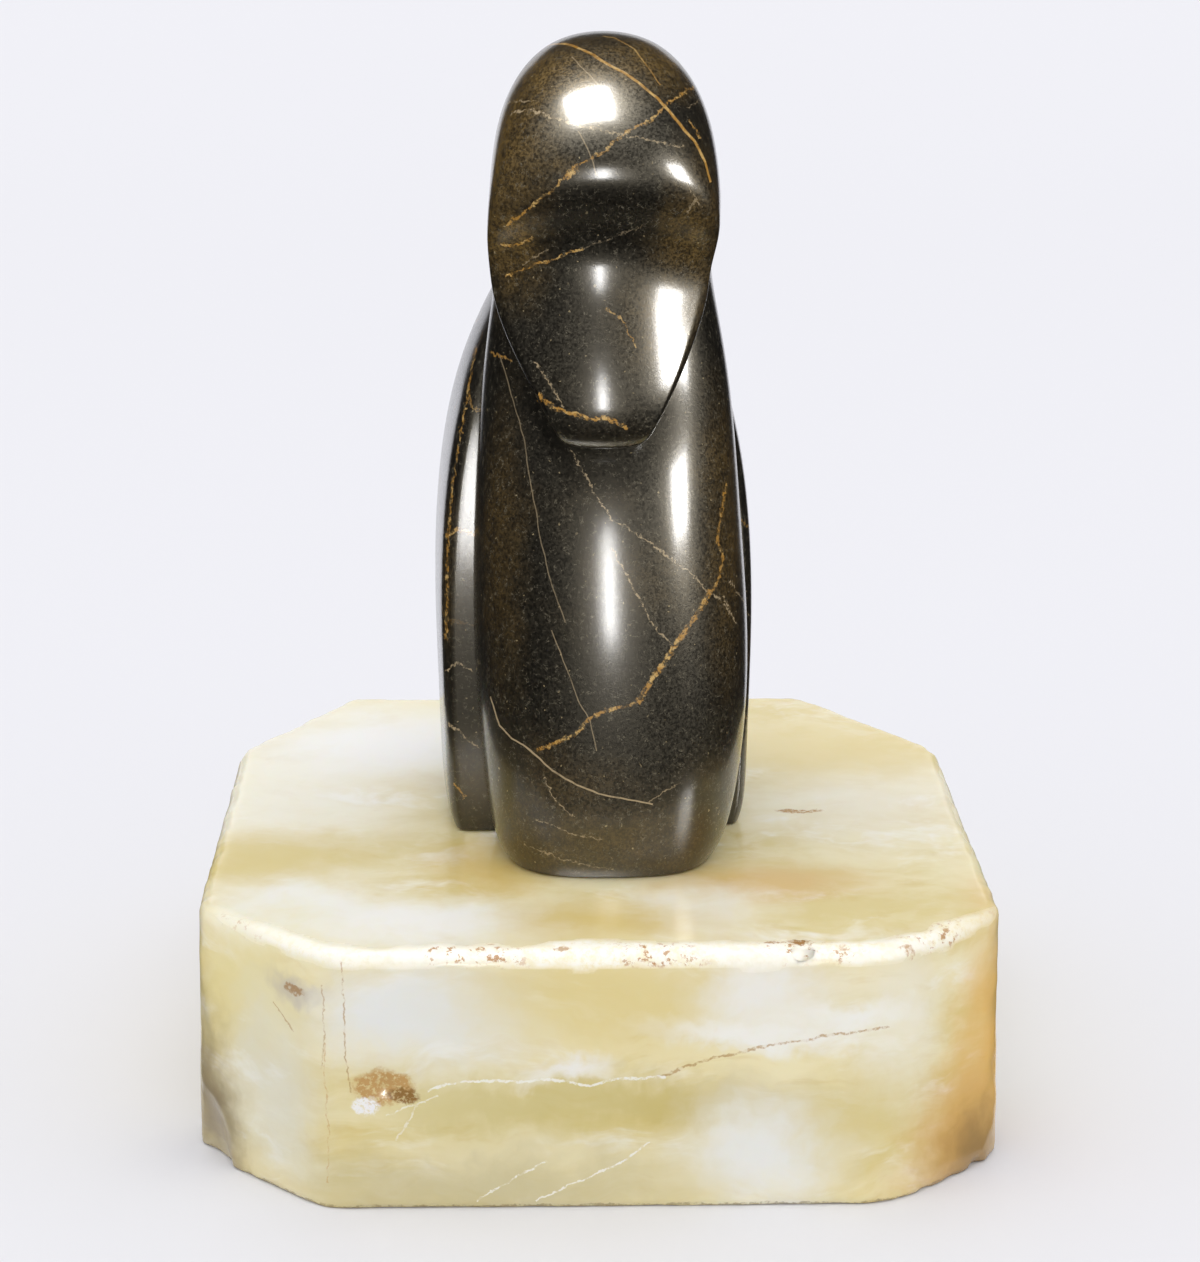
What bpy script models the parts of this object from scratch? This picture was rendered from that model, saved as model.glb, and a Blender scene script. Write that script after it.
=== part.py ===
"""A stylised stone swan with a bowed head, standing on an onyx plinth.

Two pieces: "swan", carved from one block of dark marble, and "plinth", a sawn block with its
four upright corners cut off. Metres, +Z up, the swan facing -Y. The origin is the centre of the
plinth's underside.
"""

import math
from collections import namedtuple

import bmesh
import bpy
from mathutils import Matrix, Vector

# Plinth
PLINTH_WIDTH = 0.1524
PLINTH_DEPTH = 0.1524
PLINTH_HEIGHT = 0.0510
PLINTH_FLARE = 0.0012  # each side leans out by this much from top to foot
FRONT_LEFT_CUT = (0.0257, 0.0238)  # each corner cut: along X, then along Y
FRONT_RIGHT_CUT = (0.0224, 0.0193)
BACK_RIGHT_CUT = (0.0263, 0.0375)
BACK_LEFT_CUT = (0.0217, 0.0364)
TOP_EDGE = 0.0034  # the worn top arris
UPRIGHT_EDGE = 0.0030
FOOT_EDGE = 0.0009
EDGE_SPACES = 2  # faces across a rounded upright or lower edge
TOP_EDGE_SPACES = 3
PLINTH_SHARP = math.radians(25)  # edges that turn more than this are shaded sharp
LEVEL = 1e-5  # heights closer than this are the same

# Natural hollow low in the front left corner cut, where the block's skin was
HOLLOW_WIDTH = 0.0115
HOLLOW_HEIGHT = 0.0210
HOLLOW_DEPTH = 0.0032
HOLLOW_EGG = 2.6 * HOLLOW_DEPTH  # half the thickness of the egg that cuts it

# Swan
SWAN_HEIGHT = 0.1602  # of the carver's grid
SWAN_OFFSET = 0.0015  # the swan stands a little right of the plinth's centre
BODY_TURN = math.radians(3.0)  # the wings are turned a little on the plinth, the head is not
SEAT_GAP = 0.0003  # between the swan's foot and the plinth

# Stones: linear colour, roughness
BLACK_MARBLE = ((0.028, 0.024, 0.019), 0.12)
HONEY_ONYX = ((0.74, 0.66, 0.43), 0.3)

# The figure is drawn on a carver's grid of 160 squares, and the crown comes just under its top
GRID_SQUARES = 160
SQUARE = SWAN_HEIGHT / GRID_SQUARES

RING_HALF = 10  # spaces from the front to the back of half a section, on each side
SUBDIVISIONS = 1
ROUNDNESS = 2.35  # superellipse power of the outside of the bend
FACE_RADIUS = 31.0  # the face and the bill are arched across, a little tighter than the breast
FACE_SHOULDERS = (0.0, 0.28, 0.54, 0.78)  # points of the arch, as shares of the edge's distance
FACE_EDGE = len(FACE_SHOULDERS)  # which point of the section is the face's edge
# Behind the face's edge: (share of the half width, share of the depth that is left)
CHEEK = ((1.00, 0.22), (1.00, 0.50), (0.93, 0.74), (0.74, 0.90), (0.42, 0.98), (0.0, 1.0))

# Breast, neck, head and bill are one form, drawn as ribs seen from the side. Each rib runs from
# the inside of the bend (breast, throat, under the bill) to the outside (nape, crown, face).
# inner and outer are (y, z), widest is the place of the widest point along the rib, fullness is
# the superellipse power of the inside, lean moves the rib sideways, and face blends in the arched
# section of the face, with the place of its edge (a share of the half width) and that edge's crease.
Rib = namedtuple(
    "Rib", "inner outer half_width widest fullness lean face edge crease", defaults=(0.0, 0.9, 0.0)
)
RIBS = (
    # foot and breast: inner is the front, outer lies inside the wings
    Rib((-40.0, 0.0), (6.0, 0.0), 21.3, 0.55, 3.1, 1.2),
    Rib((-41.2, 2.6), (8.0, 2.6), 23.3, 0.55, 3.0, 1.3),
    Rib((-41.9, 9.0), (9.0, 9.0), 25.1, 0.54, 2.9, 1.6),
    Rib((-42.0, 26.0), (10.0, 26.0), 27.1, 0.53, 2.7, 2.0),
    Rib((-41.0, 46.0), (10.0, 46.0), 27.5, 0.52, 2.5, 1.6),
    Rib((-38.4, 64.0), (9.0, 64.0), 26.5, 0.51, 2.4, 1.0),
    Rib((-34.2, 80.0), (6.0, 81.0), 25.4, 0.50, 2.3, 0.8),
    Rib((-27.8, 92.0), (4.2, 96.0), 24.2, 0.49, 2.3, 0.6),
    Rib((-24.6, 102.0), (4.0, 108.0), 22.4, 0.48, 2.4, 0.3),
    # throat to nape
    Rib((-23.4, 109.5), (5.8, 120.0), 20.8, 0.42, 2.8, 0.1),
    Rib((-23.4, 114.0), (8.4, 132.5), 20.9, 0.34, 3.6, -0.1),
    # fold to crown
    Rib((-23.9, 116.6), (6.6, 146.0), 21.2, 0.28, 4.4, -0.2),
    Rib((-24.4, 118.0), (-0.6, 156.6), 21.3, 0.26, 5.0, -0.3),
    Rib((-25.0, 118.6), (-12.6, 160.6), 21.6, 0.26, 5.0, 0.0),
    Rib((-25.6, 118.8), (-25.4, 158.6), 21.7, 0.27, 5.0, 0.0),
    Rib((-26.2, 118.7), (-35.8, 151.6), 21.7, 0.30, 4.8, -0.1, 0.15, 0.87, 0.0),
    Rib((-26.8, 118.4), (-41.0, 143.6), 21.6, 0.35, 4.5, -0.3, 0.4, 0.88, 0.2),
    # brow, then the hollow above the bill
    Rib((-27.2, 118.0), (-43.3, 136.2), 21.6, 0.40, 4.2, -0.4, 0.6, 0.89, 0.3),
    Rib((-27.5, 117.4), (-41.7, 131.0), 21.4, 0.43, 3.8, -0.6, 0.8, 0.90, 0.45),
    Rib((-27.7, 116.6), (-38.7, 126.0), 21.0, 0.46, 3.4, -0.8, 1.0, 0.91, 0.6),
    Rib((-27.8, 115.2), (-37.0, 120.2), 20.5, 0.48, 3.0, -1.0, 1.0, 0.92, 0.75),
    # bill
    Rib((-28.0, 111.0), (-38.2, 112.6), 20.0, 0.48, 3.0, -0.9, 1.0, 0.92, 0.85),
    Rib((-29.4, 105.0), (-40.5, 104.6), 17.6, 0.48, 3.0, -0.8, 1.0, 0.93, 0.85),
    Rib((-31.6, 98.6), (-42.0, 97.6), 14.4, 0.48, 3.0, -0.5, 1.0, 0.93, 0.85),
    Rib((-33.9, 92.6), (-42.7, 92.6), 11.5, 0.48, 3.0, -0.4, 1.0, 0.93, 0.85),
    Rib((-35.8, 88.2), (-42.2, 88.2), 9.2, 0.48, 3.0, -0.4, 1.0, 0.92, 0.85),
    Rib((-37.0, 85.6), (-40.2, 84.6), 7.2, 0.48, 3.0, -0.4, 1.0, 0.90, 0.0),
)

# Folded wings: flat levels from the foot to the tips. Each gives its height, its half width, the
# place of the front corner as a share of the half width, the y of that corner, the y of the back
# and the depth of the furrow between the wings.
Level = namedtuple("Level", "height half_width corner front back furrow")
WING_LEVELS = (
    Level(0.0, 29.6, 0.925, -11.5, 38.5, 0.0),
    Level(2.6, 30.6, 0.925, -11.8, 40.8, 0.0),
    Level(9.0, 31.2, 0.925, -12.0, 43.6, 0.0),
    Level(24.0, 31.5, 0.92, -12.0, 47.2, 0.4),
    Level(42.0, 32.1, 0.92, -11.6, 49.2, 1.0),
    Level(60.0, 31.7, 0.915, -10.4, 48.6, 1.8),
    Level(76.0, 30.0, 0.90, -8.4, 45.8, 2.8),
    Level(90.0, 26.8, 0.88, -5.4, 41.6, 3.6),
    Level(101.0, 22.1, 0.85, -1.2, 37.6, 3.8),
    Level(110.0, 17.0, 0.80, 4.4, 34.2, 3.2),
    Level(117.0, 12.4, 0.76, 11.0, 31.0, 1.8),
    Level(121.8, 6.7, 0.72, 16.8, 28.0, 0.6),
    Level(123.8, 2.4, 0.72, 20.6, 25.0, 0.0),
)
WING_SHIFT = -1.25  # the wings' middle stands a little left of the breast's
WING_STEP_SLOPE = 0.04  # the flat front of each wing falls back by this much, going outwards
WING_WIDEST = 0.45  # the widest point, as a share of the depth from the corner to the back
WING_FRONT_SPACES = 4
# Behind the corner: (share of what is left of the half width, share of the depth to the widest)
WING_SIDES = ((0.0, 0.0), (0.50, 0.05), (0.84, 0.19))
WING_BACK_SPACES = 8
WING_SQUARENESS = 2.3
WING_CREASE = 0.9  # of the front corners
FURROW_SPREAD = 0.30


def power(value, exponent):
    """A signed power, for superellipses."""
    return math.copysign(abs(value) ** exponent, value)


def round_half_section(rib, depth):
    """Half a rounded section from the outside of the bend inwards: (across, depth) distances."""
    points = []
    for step in range(RING_HALF + 1):
        angle = math.pi * (0.5 - step / RING_HALF)
        squareness = 2.0 / (ROUNDNESS if angle > 0 else rib.fullness)
        reach = power(math.sin(angle), squareness)
        along = rib.widest + reach * ((1.0 - rib.widest) if reach > 0 else rib.widest)
        across = abs(math.cos(angle)) ** squareness
        points.append((across * rib.half_width, (1.0 - along) * depth))
    return points


def face_half_section(rib, depth):
    """Half a section of the face or bill: the arched front, its edge, the cheek and underside."""
    edge = rib.edge * rib.half_width
    across = [share * edge for share in FACE_SHOULDERS] + [edge]
    points = [(x, x**2 / (2 * FACE_RADIUS)) for x in across]
    behind = depth - points[-1][1]
    for width_share, depth_share in CHEEK:
        points.append((width_share * rib.half_width, depth - behind * (1.0 - depth_share)))
    return points


def rib_ring(rib):
    """The points of one section of the breast, neck, head or bill."""
    inner = Vector((0.0, *rib.inner))
    outer = Vector((0.0, *rib.outer))
    depth = (inner - outer).length
    inwards = (inner - outer).normalized()
    half = round_half_section(rib, depth)
    if rib.face > 0:
        faced = face_half_section(rib, depth)
        half = [Vector(a).lerp(Vector(b), rib.face) for a, b in zip(half, faced)]
    ring = []
    for side in (1, -1):
        # Both sides share the points on the centre line, so each leaves one of them to the other
        points = half[:-1] if side == 1 else list(reversed(half))[:-1]
        for across, deep in points:
            place = outer + inwards * deep + Vector((rib.lean + side * across, 0.0, 0.0))
            ring.append(place * SQUARE)
    return ring


def wing_ring(level):
    """The points of one flat section through the folded wings."""
    half_width, front, back = level.half_width, level.front, level.back
    corner = level.corner * half_width
    widest = front + (back - front) * WING_WIDEST
    half = []
    for step in range(WING_FRONT_SPACES):
        across = corner * step / WING_FRONT_SPACES
        half.append((across, front - (corner - across) * WING_STEP_SLOPE))
    for bulge, share in WING_SIDES:
        half.append((corner + (half_width - corner) * bulge, front + (widest - front) * share))
    for step in range(WING_BACK_SPACES + 1):
        angle = 0.5 * math.pi * step / WING_BACK_SPACES
        across = half_width * abs(math.cos(angle)) ** (2.0 / WING_SQUARENESS)
        depth = widest + (back - widest) * abs(math.sin(angle)) ** (2.0 / WING_SQUARENESS)
        spread = FURROW_SPREAD * half_width
        half.append((across, depth - level.furrow * math.exp(-((across / spread) ** 2))))
    ring = []
    for side in (1, -1):
        points = half[:-1] if side == 1 else list(reversed(half))[:-1]
        for across, depth in points:
            ring.append(Vector((WING_SHIFT + side * across, depth, level.height)) * SQUARE)
    return ring


def loft(name, rings, creases):
    """A closed mesh through a stack of rings, kept flat at the first one.

    creases lists (ring, point, value) for the edge that runs from that ring to the next.
    """
    bm = bmesh.new()
    crease = bm.edges.layers.float.new("crease_edge")
    rows = [[bm.verts.new(point) for point in ring] for ring in rings]
    for row in rows:
        for vert, following in zip(row, row[1:] + row[:1]):
            bm.edges.new((vert, following))
    for row, above in zip(rows, rows[1:]):
        loops = [edge for edge in bm.edges if all(vert in row or vert in above for vert in edge.verts)]
        bmesh.ops.bridge_loops(bm, edges=loops)
    bm.faces.new(rows[0])
    bm.faces.new(rows[-1])
    bmesh.ops.recalc_face_normals(bm, faces=bm.faces)
    for vert, following in zip(rows[0], rows[0][1:] + rows[0][:1]):
        bm.edges.get((vert, following))[crease] = 1.0
    for ring, point, value in creases:
        edge = bm.edges.get((rows[ring][point], rows[ring + 1][point]))
        edge[crease] = value
    mesh = bpy.data.meshes.new(name)
    bm.to_mesh(mesh)
    bm.free()
    mesh.shade_smooth()
    obj = bpy.data.objects.new(name, mesh)
    bpy.context.scene.collection.objects.link(obj)
    smooth = obj.modifiers.new("Smooth", "SUBSURF")
    smooth.levels = SUBDIVISIONS
    smooth.render_levels = SUBDIVISIONS
    return obj


def stone(name, colour, roughness):
    material = bpy.data.materials.new(name)
    material.use_nodes = True
    shader = material.node_tree.nodes["Principled BSDF"]
    shader.inputs["Base Color"].default_value = (*colour, 1.0)
    shader.inputs["Roughness"].default_value = roughness
    shader.inputs["Metallic"].default_value = 0.0
    return material


def make_swan():
    """Breast, neck and head joined to the folded wings."""
    rings = [rib_ring(rib) for rib in RIBS]
    creases = []
    for index, (rib, following) in enumerate(zip(RIBS, RIBS[1:])):
        value = min(rib.crease, following.crease)
        for point in (FACE_EDGE, 2 * RING_HALF - FACE_EDGE):
            creases.append((index, point, value))
    swan = loft("swan", rings, creases)

    rings = [wing_ring(level) for level in WING_LEVELS]
    creases = []
    for index in range(len(WING_LEVELS) - 1):
        for point in (WING_FRONT_SPACES, len(rings[0]) - WING_FRONT_SPACES):
            creases.append((index, point, WING_CREASE))
    wings = loft("wings", rings, creases)
    wings.matrix_world = Matrix.Rotation(BODY_TURN, 4, "Z")
    wings.parent = swan
    wings.hide_render = True
    wings.display_type = "WIRE"

    join = swan.modifiers.new("Join wings", "BOOLEAN")
    join.operation = "UNION"
    join.object = wings
    swan.location = (SWAN_OFFSET, 0.0, PLINTH_HEIGHT + SEAT_GAP)
    swan.data.materials.append(stone("polished black marble", *BLACK_MARBLE))
    return swan


def plinth_outline(flare):
    """The eight corners of the plinth seen from above, anticlockwise from the front left."""
    right = PLINTH_WIDTH / 2 + flare
    back = PLINTH_DEPTH / 2 + flare
    return [
        (-right + FRONT_LEFT_CUT[0], -back),
        (right - FRONT_RIGHT_CUT[0], -back),
        (right, -back + FRONT_RIGHT_CUT[1]),
        (right, back - BACK_RIGHT_CUT[1]),
        (right - BACK_RIGHT_CUT[0], back),
        (-right + BACK_LEFT_CUT[0], back),
        (-right, back - BACK_LEFT_CUT[1]),
        (-right, -back + FRONT_LEFT_CUT[1]),
    ]


def spans(edge, low, high):
    """Whether an edge runs from one height to the other."""
    heights = sorted(vert.co.z for vert in edge.verts)
    return abs(heights[0] - low) < LEVEL and abs(heights[1] - high) < LEVEL


def bevel(bm, edges, width, segments):
    bmesh.ops.bevel(
        bm, geom=edges, offset=width, segments=segments, profile=0.5, affect="EDGES", material=-1
    )


def hollow_cutter():
    """An egg that takes the natural hollow out of the front left corner cut."""
    bm = bmesh.new()
    bmesh.ops.create_uvsphere(bm, u_segments=20, v_segments=14, radius=1.0)
    bmesh.ops.scale(bm, verts=bm.verts, vec=(HOLLOW_WIDTH, HOLLOW_EGG, HOLLOW_HEIGHT))
    corner = Vector((*plinth_outline(PLINTH_FLARE)[7], 0.0))
    along = Vector((*plinth_outline(PLINTH_FLARE)[0], 0.0)) - corner
    turn = math.atan2(along.y, along.x)
    outwards = Vector((math.sin(turn), -math.cos(turn), 0.0))
    place = Matrix.Translation(corner + outwards * (HOLLOW_EGG - HOLLOW_DEPTH))
    bmesh.ops.transform(bm, matrix=place @ Matrix.Rotation(turn, 4, "Z"), verts=bm.verts)
    mesh = bpy.data.meshes.new("hollow")
    bm.to_mesh(mesh)
    bm.free()
    cutter = bpy.data.objects.new("hollow", mesh)
    cutter.hide_render = True
    cutter.display_type = "WIRE"
    bpy.context.scene.collection.objects.link(cutter)
    return cutter


def make_plinth():
    bm = bmesh.new()
    foot = [bm.verts.new((x, y, 0.0)) for x, y in plinth_outline(PLINTH_FLARE)]
    top = [bm.verts.new((x, y, PLINTH_HEIGHT)) for x, y in plinth_outline(0.0)]
    bm.faces.new(foot)
    bm.faces.new(top)
    count = len(foot)
    for index in range(count):
        following = (index + 1) % count
        bm.faces.new((foot[index], foot[following], top[following], top[index]))
    bmesh.ops.recalc_face_normals(bm, faces=bm.faces)
    bevel(bm, [edge for edge in bm.edges if spans(edge, 0.0, PLINTH_HEIGHT)], UPRIGHT_EDGE, EDGE_SPACES)
    upper = [edge for edge in bm.edges if spans(edge, PLINTH_HEIGHT, PLINTH_HEIGHT)]
    bevel(bm, upper, TOP_EDGE, TOP_EDGE_SPACES)
    bevel(bm, [edge for edge in bm.edges if spans(edge, 0.0, 0.0)], FOOT_EDGE, EDGE_SPACES)
    mesh = bpy.data.meshes.new("plinth")
    bm.to_mesh(mesh)
    bm.free()
    mesh.shade_smooth()
    mesh.set_sharp_from_angle(angle=PLINTH_SHARP)
    plinth = bpy.data.objects.new("plinth", mesh)
    bpy.context.scene.collection.objects.link(plinth)
    cut = plinth.modifiers.new("Natural hollow", "BOOLEAN")
    cut.operation = "DIFFERENCE"
    cut.object = hollow_cutter()
    plinth.data.materials.append(stone("honey onyx", *HONEY_ONYX))
    return plinth


def main():
    for obj in list(bpy.data.objects):
        bpy.data.objects.remove(obj)
    make_plinth()
    make_swan()


main()
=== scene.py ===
"""A stylised stone swan with a bowed head, standing on an onyx plinth.

Run as a script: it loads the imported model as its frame, carves the swan and the plinth finer than
the frame's solids, gives them their stone, and sets a plain pale stage around them. Metres, +Z up,
the swan facing -Y, the origin in the middle of the plinth's underside.
"""

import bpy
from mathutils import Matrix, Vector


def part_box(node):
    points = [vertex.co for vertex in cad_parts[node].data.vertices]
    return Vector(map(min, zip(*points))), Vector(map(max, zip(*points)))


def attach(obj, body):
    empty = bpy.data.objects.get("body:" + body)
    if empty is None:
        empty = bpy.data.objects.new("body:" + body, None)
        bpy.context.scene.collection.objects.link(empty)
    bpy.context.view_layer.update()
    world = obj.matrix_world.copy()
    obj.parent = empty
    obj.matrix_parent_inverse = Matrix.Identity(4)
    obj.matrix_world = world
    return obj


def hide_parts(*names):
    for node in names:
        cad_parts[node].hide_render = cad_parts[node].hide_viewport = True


bl_info = {
    "name": "Stone Swan Figurine",
    "version": (1, 0, 0),
    "blender": (4, 5, 0),
    "location": "View3D > Sidebar > Stone Swan",
    "description": "Builds a stone swan figurine on an onyx plinth",
    "category": "Object",
}

import math
from collections import namedtuple

import bmesh
import bpy
import numpy as np
from mathutils import Matrix, Vector, noise

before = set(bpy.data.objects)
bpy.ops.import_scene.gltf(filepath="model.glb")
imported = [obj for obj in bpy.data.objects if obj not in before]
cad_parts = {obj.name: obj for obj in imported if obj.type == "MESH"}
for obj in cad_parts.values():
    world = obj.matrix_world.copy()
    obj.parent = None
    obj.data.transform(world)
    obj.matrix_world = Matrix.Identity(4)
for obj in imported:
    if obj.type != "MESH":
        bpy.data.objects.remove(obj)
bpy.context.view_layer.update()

PLINTH_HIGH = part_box("plinth")[1]
SWAN_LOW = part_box("swan")[0]


def linear(code):
    """An sRGB hex colour as linear red, green and blue."""
    channels = [int(code[place : place + 2], 16) / 255 for place in (1, 3, 5)]
    return tuple(c / 12.92 if c <= 0.04045 else ((c + 0.055) / 1.055) ** 2.4 for c in channels)


def opaque(code):
    return (*linear(code), 1.0)


# Sizes and colours that a user may change


class SwanSettings(bpy.types.PropertyGroup):
    """The swan's sizes and colours."""

    square: bpy.props.FloatProperty(
        name="Carver's square",
        description="One square of the grid that the swan is drawn on, 160 of them to its height",
        default=0.1601 / 160,
        precision=6,
        unit="LENGTH",
    )
    offset: bpy.props.FloatProperty(
        name="Offset",
        description="How far right of the plinth's middle it stands",
        default=0.0015,
        unit="LENGTH",
    )
    body_turn: bpy.props.FloatProperty(
        name="Body turn",
        description="How far the folded wings are turned on the plinth",
        default=math.radians(3.0),
        unit="ROTATION",
        subtype="ANGLE",
    )
    stone: bpy.props.FloatVectorProperty(
        name="Stone",
        description="The marble's ground",
        default=linear("#0e0c07"),
        subtype="COLOR",
    )
    gold: bpy.props.FloatVectorProperty(
        name="Gold vein",
        description="The ochre of the main veins",
        default=linear("#b07f2c"),
        subtype="COLOR",
    )
    cream: bpy.props.FloatVectorProperty(
        name="Cream vein",
        description="The calcite of the pale veins",
        default=linear("#b8a27c"),
        subtype="COLOR",
    )


class PlinthSettings(bpy.types.PropertyGroup):
    """The plinth's sizes and colours."""

    flare: bpy.props.FloatProperty(
        name="Flare",
        description="How far each side leans out from top to foot",
        default=0.0012,
        unit="LENGTH",
    )
    top_edge: bpy.props.FloatProperty(
        name="Top edge", description="Radius of the worn top arris", default=0.0030, unit="LENGTH"
    )
    upright_edge: bpy.props.FloatProperty(
        name="Upright edge", description="Radius of the upright edges", default=0.0036, unit="LENGTH"
    )
    foot_edge: bpy.props.FloatProperty(
        name="Foot edge", description="Radius of the lower arris", default=0.0009, unit="LENGTH"
    )
    onyx: bpy.props.FloatVectorProperty(
        name="Onyx",
        description="The onyx's main yellow-green",
        default=linear("#e6d595"),
        subtype="COLOR",
    )


class StageSettings(bpy.types.PropertyGroup):
    """The studio around the object."""

    floor: bpy.props.FloatVectorProperty(
        name="Floor", description="The pale floor", default=linear("#e6e6e8"), subtype="COLOR"
    )
    floor_size: bpy.props.FloatProperty(
        name="Floor size", description="Side of the square floor", default=24.0, unit="LENGTH"
    )


# The swan's form

RING_HALF = 10  # spaces from the front to the back of half a section, on each side
SUBDIVISIONS = 3
ROUNDNESS = 2.35  # superellipse power of the outside of the bend
FACE_RADIUS = 31.0  # the face and the bill are arched across
FACE_SHOULDERS = (0.0, 0.28, 0.54, 0.78)  # points of the arch, as shares of the edge's distance
FACE_EDGE = len(FACE_SHOULDERS)  # which point of the section is the face's edge
# Behind the face's edge: (share of the half width, share of the depth that is left)
CHEEK = ((1.00, 0.22), (1.00, 0.50), (0.93, 0.74), (0.74, 0.90), (0.42, 0.98), (0.0, 1.0))

# Breast, neck, head and bill are one form, drawn as ribs seen from the side, in squares. Each rib
# runs from the inside of the bend (breast, throat, under the bill) to the outside (nape, crown,
# face). inner and outer are (y, z), widest is the place of the widest point along the rib, fullness
# is the superellipse power of the inside, lean moves the rib sideways, and face blends in the
# arched section of the face, with the place of its edge and that edge's crease.
Rib = namedtuple(
    "Rib", "inner outer half_width widest fullness lean face edge crease", defaults=(0.0, 0.9, 0.0)
)
RIBS = (
    # foot and breast: inner is the front, outer lies inside the wings
    Rib((-40.0, 0.0), (6.0, 0.0), 21.3, 0.55, 3.1, 1.2),
    Rib((-41.2, 2.6), (8.0, 2.6), 23.3, 0.55, 3.0, 1.3),
    Rib((-41.9, 9.0), (9.0, 9.0), 25.1, 0.54, 2.9, 1.6),
    Rib((-42.0, 26.0), (10.0, 26.0), 27.1, 0.53, 2.7, 2.0),
    Rib((-41.0, 46.0), (10.0, 46.0), 27.5, 0.52, 2.5, 1.6),
    Rib((-38.4, 64.0), (9.0, 64.0), 26.5, 0.51, 2.4, 1.0),
    Rib((-34.2, 80.0), (6.0, 81.0), 25.4, 0.50, 2.3, 0.8),
    Rib((-27.8, 92.0), (4.2, 96.0), 24.2, 0.49, 2.3, 0.6),
    Rib((-24.6, 102.0), (4.0, 108.0), 22.4, 0.48, 2.4, 0.3),
    # throat to nape
    Rib((-23.4, 109.5), (5.8, 120.0), 20.8, 0.42, 2.8, 0.1),
    Rib((-23.4, 114.0), (8.4, 132.5), 20.9, 0.34, 3.6, -0.1),
    # fold to crown
    Rib((-23.9, 116.6), (6.6, 146.0), 21.2, 0.28, 4.4, -0.2),
    Rib((-24.4, 118.0), (-0.6, 156.6), 21.3, 0.26, 5.0, -0.3),
    Rib((-25.0, 118.6), (-12.6, 160.6), 21.6, 0.26, 5.0, 0.0),
    Rib((-25.6, 118.8), (-25.4, 158.6), 21.7, 0.27, 5.0, 0.0),
    Rib((-26.2, 118.7), (-35.8, 151.6), 21.7, 0.30, 4.8, -0.1, 0.15, 0.87, 0.0),
    Rib((-26.8, 118.4), (-41.0, 143.6), 21.6, 0.35, 4.5, -0.3, 0.4, 0.88, 0.2),
    # brow, then the hollow above the bill
    Rib((-27.2, 118.0), (-43.3, 136.2), 21.6, 0.40, 4.2, -0.4, 0.6, 0.89, 0.3),
    Rib((-27.5, 117.4), (-41.7, 131.0), 21.4, 0.43, 3.8, -0.6, 0.8, 0.90, 0.45),
    Rib((-27.7, 116.6), (-38.7, 126.0), 21.0, 0.46, 3.4, -0.8, 1.0, 0.91, 0.6),
    Rib((-27.8, 115.2), (-37.0, 120.2), 20.5, 0.48, 3.0, -1.0, 1.0, 0.92, 0.75),
    # bill
    Rib((-28.0, 111.0), (-38.2, 112.6), 20.0, 0.48, 3.0, -0.9, 1.0, 0.92, 0.85),
    Rib((-29.4, 105.0), (-40.5, 104.6), 17.6, 0.48, 3.0, -0.8, 1.0, 0.93, 0.85),
    Rib((-31.6, 98.6), (-42.0, 97.6), 14.4, 0.48, 3.0, -0.5, 1.0, 0.93, 0.85),
    Rib((-33.9, 92.6), (-42.7, 92.6), 11.5, 0.48, 3.0, -0.4, 1.0, 0.93, 0.85),
    Rib((-35.8, 88.2), (-42.2, 88.2), 9.2, 0.48, 3.0, -0.4, 1.0, 0.92, 0.85),
    Rib((-37.0, 85.6), (-40.2, 84.6), 7.2, 0.48, 3.0, -0.4, 1.0, 0.90, 0.0),
)

# Folded wings: flat levels from the foot to the tips, in squares. corner is the place of the front
# corner as a share of the half width, front its y, and furrow the dip between the wings.
Level = namedtuple("Level", "height half_width corner front back furrow")
WING_LEVELS = (
    Level(0.0, 29.6, 0.925, -11.5, 38.5, 0.0),
    Level(2.6, 30.6, 0.925, -11.8, 40.8, 0.0),
    Level(9.0, 31.2, 0.925, -12.0, 43.6, 0.0),
    Level(24.0, 31.5, 0.92, -12.0, 47.2, 0.4),
    Level(42.0, 32.1, 0.92, -11.6, 49.2, 1.0),
    Level(60.0, 31.7, 0.915, -10.4, 48.6, 1.8),
    Level(76.0, 30.0, 0.90, -8.4, 45.8, 2.8),
    Level(90.0, 26.8, 0.88, -5.4, 41.6, 3.6),
    Level(101.0, 22.1, 0.85, -1.2, 37.6, 3.8),
    Level(110.0, 17.0, 0.80, 4.4, 34.2, 3.2),
    Level(117.0, 12.4, 0.76, 11.0, 31.0, 1.8),
    Level(121.8, 6.7, 0.72, 16.8, 28.0, 0.6),
    Level(123.8, 2.4, 0.72, 20.6, 25.0, 0.0),
)
WING_SHIFT = -1.25  # the wings' middle stands a little left of the breast's
WING_STEP_SLOPE = 0.04  # the flat front of each wing falls back by this much, going outwards
WING_WIDEST = 0.45  # the widest point, as a share of the depth from the corner to the back
WING_FRONT_SPACES = 4
# Behind the corner: (share of what is left of the half width, share of the depth to the widest)
WING_SIDES = ((0.0, 0.0), (0.50, 0.05), (0.84, 0.19))
WING_BACK_SPACES = 8
WING_SQUARENESS = 2.3
WING_CREASE = 0.9  # of the front corners
SWAN_SHARP = math.radians(38)  # edges that turn more than this are shaded sharp
FURROW_SPREAD = 0.30


def power(value, exponent):
    """A signed power, for superellipses."""
    return math.copysign(abs(value) ** exponent, value)


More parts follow.
